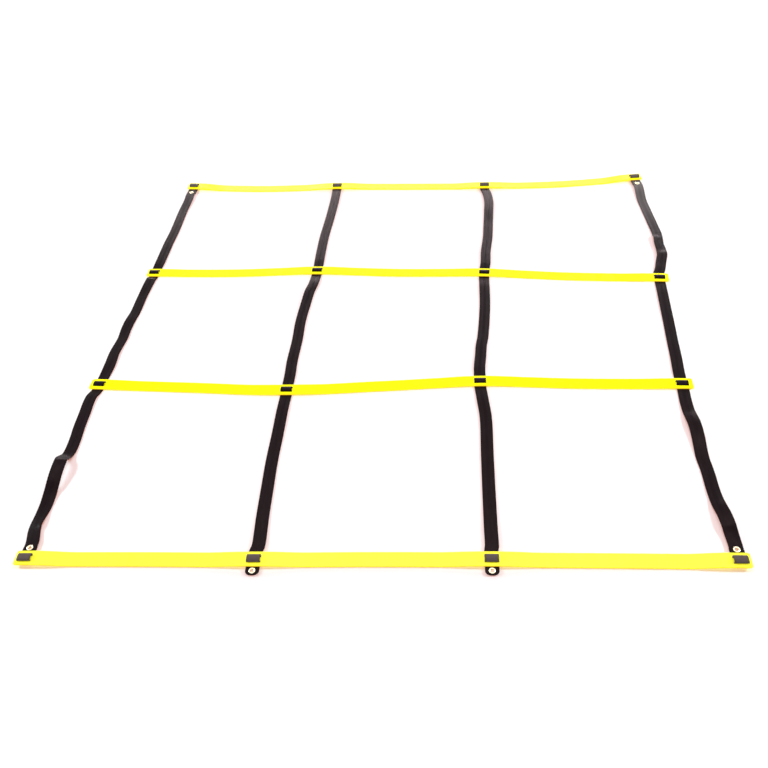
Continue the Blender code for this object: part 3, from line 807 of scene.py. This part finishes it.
def cell_lines(cell, strap):
    """The webbing in a cell: its ends, and its lines for going sideways, rising and tilting."""
    half = WEBBING_THICKNESS / 2
    front, _, front_across = crossing(cell, strap)
    rear, _, rear_across = crossing(cell + 1, strap)
    outside = RUNG_WIDTH / 2 + EXIT_RUN
    leaves = front + front_across * outside
    arrives = rear - rear_across * outside
    first, last = leaves.y, arrives.y
    knots = [(leaves.y, leaves.x, cell_layer(cell, strap) + half, 0.0)]
    if is_outer(strap) and cell == 0:
        knots.append(past_eyelet(0, strap, 1))
        first = knots[-1][0] + RIVETED_CLEARANCE
    if is_outer(strap) and cell == 2:
        knots.append(past_eyelet(3, strap, -1))
        last = knots[-1][0] - RIVETED_CLEARANCE
    for share, stray, rise, tilt in WANDER[strap][cell]:
        middle = front.lerp(rear, share / 100)
        if first < middle.y < last:
            slope = tilt / 1000 / WEBBING_WIDTH
            knots.append((middle.y, middle.x + stray / 1000, rise / 1000 + half, slope))
    knots.append((arrives.y, arrives.x, cell_layer(cell + 1, strap) + half, 0.0))
    knots.sort()
    places = [knot[0] for knot in knots]
    sideways = smooth_line(places, [knot[1] for knot in knots])
    height = smooth_line(places, [knot[2] for knot in knots], limited=True)
    tilting = smooth_line(places, [knot[3] for knot in knots], limited=True)
    return places[0], places[-1], sideways, height, tilting


def cell_places(cell, first, last):
    """Places along a cell's webbing. They are close together where the square folds."""
    steps = round((last - first) / CELL_STEP)
    places = [first + (last - first) * step / steps for step in range(1, steps)]
    fold, reach = fold_places[FOLDS[cell]], FOLD_RUNS[cell] / 2
    bends = [fold + reach * (2 * step / FOLD_STEPS - 1) for step in range(FOLD_STEPS + 1)]
    return sorted([place for place in places if abs(place - fold) > reach + CELL_STEP / 2] + bends)


def rocking(cell, strap, place):
    """How far the webbing rocks from edge to edge, as a slope: a long wave and a short one."""
    phase = STRAP_PHASE * strap + CELL_PHASE * cell
    return sum(slope * math.sin(wave * place + shift * phase) for slope, wave, shift in ROCKING)


def cell_way(cell, strap):
    """(point, direction of the width) along the webbing between two rungs."""
    first, last, sideways, height, tilting = cell_lines(cell, strap)
    way = []
    for place in cell_places(cell, first, last):
        share = (place - first) / (last - first)
        drift = (sideways(place + SLOPE_STEP) - sideways(place - SLOPE_STEP)) / 2 / SLOPE_STEP
        z = height(place)
        loose = min(max((z - LOOSE_ABOVE) / LOOSE_OVER, 0.0), 1.0) * math.sin(math.pi * share)
        slope = rocking(cell, strap, place) * loose - tilting(place)
        side = Vector((1, -drift, slope)).normalized()
        way.append((Vector((sideways(place), place, z)), side))
    return way


print("Points along the left inner strap in the front cells:", len(cell_way(0, 1)))

# %% [markdown]
# ## Making webbing from a way
#
# The strip is swept: at each point of the way stands a thin rounded outline, square to the
# webbing's direction, and neighbouring outlines are joined by faces. A curve object with a bevel
# would twist at the tight bends, so each point carries the direction of the width. A loose end
# is rounded by drawing the outline in, and a real hole is cut through it for the eyelet.

# %% The outline of the webbing and a strip along a way
TIP_RADIUS = 0.009
TIP_STEPS = 8
SELVEDGE_RADIUS = 0.0005
OUTLINE_STEPS = 8
OUTLINE_CROWN = 0.00008
SELVEDGE_DEGREES = (120, 155, 205, 240)
SELVEDGE_HEIGHT = 0.8
SELVEDGE_SHARP = math.radians(60)


def webbing_outline(half_width):
    """(across, up) round the webbing's outline, anticlockwise as seen from its front end."""
    half = WEBBING_THICKNESS / 2
    flat = half_width - SELVEDGE_RADIUS
    upper = [(flat * (1 - 2 * i / OUTLINE_STEPS), half) for i in range(OUTLINE_STEPS + 1)]
    upper = [(a, h - OUTLINE_CROWN * (a / half_width) ** 2) for a, h in upper]
    edge = []
    for degrees in SELVEDGE_DEGREES:
        angle = math.radians(degrees)
        height = SELVEDGE_HEIGHT * half * math.sin(angle)
        edge.append((-flat + SELVEDGE_RADIUS * math.cos(angle), height))
    lower = [(-a, -h) for a, h in upper]
    return upper + edge + lower + [(-a, -h) for a, h in edge]


def with_half_widths(way, tip_at_start=False, tip_at_end=False):
    """Adds half the webbing's width to each point, drawn in at a rounded tip."""
    if tip_at_end:
        turned = with_half_widths(way[::-1], True, tip_at_start)
        return turned[::-1]
    full = WEBBING_WIDTH / 2
    if not tip_at_start:
        return [(point, side, full) for point, side in way]
    (tip, side), (inner, _) = way[0], way[1]
    direction = (inner - tip).normalized()
    made = []
    for step in range(TIP_STEPS + 1):
        angle = math.pi / 2 * step / TIP_STEPS
        point = tip + direction * TIP_RADIUS * (1 - math.cos(angle))
        made.append((point, side, full - TIP_RADIUS * (1 - math.sin(angle))))
    return made + [(point, side, full) for point, side in way[1:]]


def evened(way):
    """The way with its long straight stretches divided, so that it can bend in a fold."""
    made = [way[0]]
    for (point, side, half), (after, after_side, after_half) in zip(way, way[1:]):
        parts = max(1, round((after - point).length / CELL_STEP))
        for part in range(1, parts + 1):
            share = part / parts
            half_here = half + (after_half - half) * share
            made.append((point.lerp(after, share), side.lerp(after_side, share), half_here))
    return made


def ring_faces(rings, count, closed):
    """Faces between neighbouring rings of corners, and from the last to the first if closed."""
    faces = []
    for ring in range(rings if closed else rings - 1):
        here, there = ring * count, (ring + 1) % rings * count
        for j in range(count):
            k = (j + 1) % count
            faces.append((here + j, here + k, there + k, there + j))
    return faces


def add_webbing(name, way, start=0.0):
    """A strip of webbing along the way. Returns it with its length."""
    way = evened(way)
    corners, places = [], []
    run = start
    for i, (point, side, half) in enumerate(way):
        before, after = way[max(i - 1, 0)][0], way[min(i + 1, len(way) - 1)][0]
        run += (point - before).length
        side = side.normalized()
        up = side.cross(after - before).normalized()
        for across, height in webbing_outline(half):
            corners.append(point + side * across + up * height)
            places.append((across, run))
    count = len(webbing_outline(WEBBING_WIDTH / 2))
    faces = ring_faces(len(way), count, closed=False)
    faces.append(tuple(range(count))[::-1])
    faces.append(tuple(range(len(corners) - count, len(corners))))
    strip = add_piece(name, corners, faces, BLACK_WEBBING, places, "run")
    shape = bmesh.new()
    shape.from_mesh(strip.data)
    bmesh.ops.recalc_face_normals(shape, faces=shape.faces)
    shape.to_mesh(strip.data)
    shape.free()
    strip.data.set_sharp_from_angle(angle=SELVEDGE_SHARP)
    return strip, run - start


print("The webbing's outline has", len(webbing_outline(WEBBING_WIDTH / 2)), "corners")

# %% Punch a hole for an eyelet
HOLE_RADIUS = 0.004
HOLE_SIDES = 48
PUNCH_LENGTH = 0.04


def punched(strip, row, strap):
    """Cuts a real hole through the webbing where an eyelet goes, and keeps the result."""
    bpy.ops.mesh.primitive_cylinder_add(
        vertices=HOLE_SIDES, radius=HOLE_RADIUS, depth=PUNCH_LENGTH,
        location=eyelet_place(row, strap))
    punch = bpy.context.object
    cut = strip.modifiers.new("eyelet hole", "BOOLEAN")
    cut.object = punch
    bpy.context.view_layer.update()
    evaluated = strip.evaluated_get(bpy.context.evaluated_depsgraph_get())
    mesh = bpy.data.meshes.new_from_object(evaluated)
    strip.modifiers.clear()
    strip.data = mesh
    bpy.data.objects.remove(punch)
    return strip


def eyelet_place(row, strap):
    """The point on the floor under an eyelet's centre."""
    centre, _, across = crossing(row, strap)
    toward_cells = 1 if row == 0 and is_outer(strap) else -1
    return centre + across * toward_cells * eyelet_reach(row, strap)


print("Front left eyelet at", [round(number, 4) for number in eyelet_place(0, 0)])

# %% [markdown] ## Twelve lengths of webbing The square folds up along a line through the middle
# of each row of cells, and there the webbing bends. Each piece runs over the rung in front of its
# cell and across the cell, to a seam under the next rung's front bar or on round the rear rung,
# and its points lie close together where the square folds. That close stretch is kept short,
# since a long turn would swing the webbing down through the floor.

# %% Straps
SEAM_ROWS = (1, 2)
RUN_PER_CELL = 0.5


def cut_at_seams(way, cell, strap):
    """The stretch of a way between the seams, which lie under the front bars of two rungs."""
    kept = list(way)
    for row, side in ((cell, 1), (cell + 1, -1)):
        if row in SEAM_ROWS:
            centre, _, across = crossing(row, strap)
            seam = centre - across * BAR_MIDDLE
            kept = [w for w in kept if (w[0] - seam).dot(across) * side > HALF_SEAM]
            height = cell_layer(row, strap) + WEBBING_THICKNESS / 2
            end = seam + across * side * HALF_SEAM + Vector((0, 0, height))
            kept = [(end, kept[0][1])] + kept if side == 1 else kept + [(end, kept[-1][1])]
    return kept


def strap_way(cell, strap):
    """The piece of a strap that belongs to a cell: the rung before it, the cell, the seam."""
    after = crossing_way(cell + 1, strap)
    if cell + 1 in SEAM_ROWS:
        after = after[:1]
    return cut_at_seams(crossing_way(cell, strap) + cell_way(cell, strap) + after, cell, strap)


def add_strap(cell, strap):
    name = f"webbing_{STRAPS[strap]}_{('front', 'middle', 'rear')[cell]}_cells"
    way = strap_way(cell, strap)
    tips = (cell == 0 and is_outer(strap), cell == 2)
    strip, length = add_webbing(name, with_half_widths(way, *tips), start=RUN_PER_CELL * cell)
    if is_outer(strap) and cell != 1:
        punched(strip, 0 if cell == 0 else 3, strap)
    nodes = [f"strap_{STRAPS[strap]}_{ROWS[row]}" for row in (cell, cell + 1)]
    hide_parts(*nodes)
    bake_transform(strip)
    return name, length


strap_lengths = {}
for strap_number in range(4):
    for cell_number in range(3):
        made_name, made_length = add_strap(cell_number, strap_number)
        strap_lengths[made_name] = made_length
print("Webbing in metres:", {name: round(long, 3) for name, long in strap_lengths.items()})

# %% [markdown]
# ## The two free tails
#
# In front of the front rung the two inner straps end in short rounded tongues, each with an
# eyelet for a peg. A tongue can be lifted, so it is a piece of its own, which runs from under the
# rung's front bar out to its rounded tip.


def add_tail(strap, side):
    centre, along, across = crossing(0, strap)
    height = Vector((0, 0, lowest_layer(0, strap) + WEBBING_THICKNESS / 2))
    tip = centre - across * TAIL_REACH + height
    start = centre - across * (BAR_MIDDLE + HALF_SEAM) + height
    way = with_half_widths([(tip, along), (start, along)], tip_at_start=True)
    tail, length = add_webbing(f"webbing_tail_{side}", way)
    punched(tail, 0, strap)
    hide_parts(f"tail_{side}")
    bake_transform(tail)
    return length


tail_lengths = {side: add_tail(strap, side) for strap, side in ((1, "left"), (2, "right"))}
print("Tails in metres:", {side: round(long, 4) for side, long in tail_lengths.items()})

# %% [markdown]
# ## The finish of the eyelets
#
# Eyelets are pressed from thin brass, bright and pale with a faint brown tarnish in cloudy
# patches. Metal gets nearly all its look from what it mirrors, so it needs only a base colour,
# some unevenness in its roughness, and light to reflect.

# %% Brass
BRASS_BRIGHT = (0.9, 0.8, 0.58, 1)
BRASS_TARNISHED = (0.72, 0.6, 0.38, 1)


def brass(name, tarnish, roughness):
    finish = Finish(bpy.data.materials.new(name))
    solid = finish.coordinates("Object")
    cloudy = finish.between(finish.noise(solid, 420.0, 4.0, 0.6), 0.4, 0.7)
    scratches = finish.noise(finish.stretched(solid, (1.0, 6.0, 1.0)), 1800.0, 2.0)
    finish.fill(finish.shader, {
        "Base Color": finish.blended(cloudy * tarnish, BRASS_BRIGHT, BRASS_TARNISHED),
        "Metallic": 1.0,
        "Roughness": roughness + cloudy * 0.15 + scratches * 0.06,
        "Normal": finish.bumped(scratches + cloudy * 0.5, 0.00003, 0.6),
    })
    return finish.owner


EYELET_BRASS = brass("eyelet brass", 0.3, 0.2)
WASHER_BRASS = brass("washer brass", 0.7, 0.34)
print("Two kinds of brass:", EYELET_BRASS.name, "and", WASHER_BRASS.name)

# %% [markdown]
# ## The eyelets
#
# An eyelet has a rolled flange on top, a barrel through the webbing and a lip that curls out
# underneath. It is one profile spun round an axis, written as radius and height from the bore
# over the flange and down to the lip.

# %% Eyelets
EYELET_SIDES = 48
BORE_RADIUS = 0.0032
BARREL_RADIUS = 0.0037
CROWN_RADIUS = 0.0047
CROWN_HEIGHT = 0.0007
LIP_THICKNESS = 0.0003
LIP_RADIUS = 0.0045
BORE_FLARE = 0.0004
FUNNEL_DEPTH = 0.0011
EASE = 0.0001


def arc(centre, radius, start, end, steps):
    """(radius, height) points on an arc, with its angles in degrees."""
    angles = [math.radians(start + (end - start) * i / steps) for i in range(steps + 1)]
    return [(centre[0] + radius[0] * math.cos(a), centre[1] + radius[1] * math.sin(a))
            for a in angles]


def eyelet_profile(under_flange):
    top = under_flange + CROWN_HEIGHT
    neck = top - FUNNEL_DEPTH
    bore = [(BORE_RADIUS + BORE_FLARE, 0.0), (BORE_RADIUS, BORE_FLARE), (BORE_RADIUS, neck)]
    funnel = arc((CROWN_RADIUS, neck), (CROWN_RADIUS - BORE_RADIUS, FUNNEL_DEPTH), 172, 90, 7)
    rim = arc((CROWN_RADIUS, under_flange + EASE),
              (EYELET_RADIUS - CROWN_RADIUS, CROWN_HEIGHT - EASE), 80, 0, 6)
    under = [(EYELET_RADIUS - EASE, under_flange), (BARREL_RADIUS, under_flange)]
    lip = [(BARREL_RADIUS, LIP_THICKNESS + EASE), (BARREL_RADIUS + EASE, LIP_THICKNESS)]
    curl = arc((LIP_RADIUS - LIP_THICKNESS / 2, LIP_THICKNESS / 2),
               (LIP_THICKNESS / 2, LIP_THICKNESS / 2), 90, -90, 4)
    return bore + funnel + rim + under + lip + curl


def add_eyelet(row, strap, label, body):
    layers = 2 if is_outer(strap) else 1
    profile = eyelet_profile(UNDER_EYELET + layers * (WEBBING_THICKNESS + SEAT))
    origin = eyelet_place(row, strap)
    corners = []
    for side in range(EYELET_SIDES):
        angle = 2 * math.pi * side / EYELET_SIDES
        spoke = Vector((math.cos(angle), math.sin(angle), 0))
        corners += [origin + spoke * radius + Vector((0, 0, height)) for radius, height in profile]
    faces = ring_faces(EYELET_SIDES, len(profile), closed=True)
    eyelet = add_piece(f"rolled_eyelet_{label}", corners, faces, EYELET_BRASS)
    eyelet.data.set_sharp_from_angle(angle=SHARP)
    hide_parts(f"eyelet_{label}")
    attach(eyelet, body)
    for slot in frame["nodes"][f"washer_{label}"].material_slots:
        slot.material = WASHER_BRASS


for row_number, strap_number in ((0, 0), (0, 3), (3, 0), (3, 3)):
    side_name = STRAPS[strap_number].split("_")[0]
    row_name = ROWS[row_number]
    add_eyelet(row_number, strap_number, f"{row_name}_{side_name}", f"row_{row_name}")
for strap_number, side_name in ((1, "left"), (2, "right")):
    add_eyelet(0, strap_number, f"tail_{side_name}", f"{side_name}_tail")
print("Six eyelets, each with", len(eyelet_profile(UNDER_EYELET)), "points in its profile")

# %% [markdown]
# ## The floor and the light
#
# The floor is a plain disc of a pale blue. To the camera and to mirrors it adds a reddish light
# of its own, so that it reads as white paper where the lamps reach it and turns pink in the
# shadows. In the picture the shadow of the left kink is nearly as pink, and the others are much
# less so. A Light Path node tells such direct rays from the rays that only carry light. The
# world is white to direct rays as well, but dim to the object. A low lamp at each side throws
# the webbing's shadows inwards, and its light is a little cool, which helps to turn them pink.
# One overhead is mirrored by the front rung, one behind by the rear rung and the rear webbing,
# and a soft one in front fills the faces that we see.

# %% Rays that see the floor and the world directly
ROOM_WHITE = (1.0, 0.995, 0.99, 1)


def seen_directly(finish):
    """1 for rays from the camera, a mirror or glass, and 0 for rays of soft light."""
    kinds = ("Is Camera Ray", "Is Glossy Ray", "Is Transmission Ray")
    rays = [finish.node("ShaderNodeLightPath", {}, {}, out=kind) for kind in kinds]
    return finish.node("ShaderNodeClamp", {}, {"Value": rays[0] + rays[1] + rays[2]})


print("White of the room:", ROOM_WHITE[:3])


# %% Floor
FLOOR_RADIUS = 9.0
FLOOR_DROP = 0.0002
FLOOR_SHADE = (0.615, 0.84, 0.895, 1)
FLOOR_TINT = (0.63, 0.85, 0.905, 1)
FLOOR_GLOW = (0.43, 0.06, 0.0, 1)
PLAIN_FROM = 0.85
PLAIN_TO = 1.5


def white_floor():
    finish = Finish(bpy.data.materials.new("white floor"))
    solid = finish.coordinates("Object")
    away = finish.node("ShaderNodeVectorMath", {"operation": "LENGTH"}, {0: solid}, out="Value")
    glow = finish.blended(finish.between(away, PLAIN_FROM, PLAIN_TO), FLOOR_GLOW, ROOM_WHITE)
    finish.fill(finish.shader, {
        "Base Color": finish.blended(finish.noise(solid, 3.0, 2.0), FLOOR_SHADE, FLOOR_TINT),
        "Roughness": 0.9,
        "Specular IOR Level": 0.0,
        "Emission Color": finish.blended(seen_directly(finish), DARK, glow),
        "Emission Strength": 1.0,
    })
    return finish.owner


bpy.ops.mesh.primitive_circle_add(
    vertices=96, radius=FLOOR_RADIUS, fill_type="NGON", location=(0, 0, -FLOOR_DROP))
floor = bpy.context.object
floor.name = "floor"
floor.data.materials.append(white_floor())
print("Floor radius in metres:", FLOOR_RADIUS)

# %% World
AMBIENT = (0.22, 0.2, 0.2, 1)

world = bpy.data.worlds.new("white room")
room = Finish(world, "Background")
room.fill(room.shader, {"Color": room.blended(seen_directly(room), AMBIENT, ROOM_WHITE)})
bpy.context.scene.world = world
print("Ambient light:", AMBIENT[0])

# %% Lamps
LAMP_WHITE = (0.97, 1.0, 1.0)
LAMP_COOL = (0.8, 1.0, 1.0)
LAMP_WARM = (1.0, 0.88, 0.9)
LAMPS = {
    "left": ((-2.3, -0.1, 0.9), (0.0, -0.1, 0.0), (0.5, 0.3), 41.0, LAMP_COOL),
    "right": ((2.3, -0.1, 0.9), (0.0, -0.1, 0.0), (0.5, 0.3), 41.0, LAMP_COOL),
    "overhead": ((0.3, 1.0, 2.8), (0.1, 0.0, 0.0), (3.0, 0.8), 25.0, LAMP_WHITE),
    "rear": ((0.0, 3.3, 1.2), (0.0, 0.6, 0.0), (3.4, 0.5), 74.0, LAMP_WARM),
    "front": ((0.0, -2.2, 2.0), (0.0, -0.5, 0.0), (1.6, 1.2), 20.0, LAMP_WHITE),
}


def add_soft_box(name, place, target, size, power, colour):
    lamp = bpy.data.lights.new(name, "AREA")
    lamp.shape = "RECTANGLE"
    lamp.size, lamp.size_y = size
    lamp.energy = power
    lamp.color = colour
    box = bpy.data.objects.new(name, lamp)
    box.location = place
    box.rotation_euler = (Vector(target) - Vector(place)).to_track_quat("-Z", "Y").to_euler()
    bpy.context.scene.collection.objects.link(box)


for lamp_name, lamp_settings in LAMPS.items():
    add_soft_box(f"soft box {lamp_name}", *lamp_settings)
print("Soft boxes:", list(LAMPS))

# %% [markdown]
# ## The last checks
#
# The standard view keeps the colours as they were written.

# %% Finish
bpy.context.scene.view_settings.view_transform = "Standard"
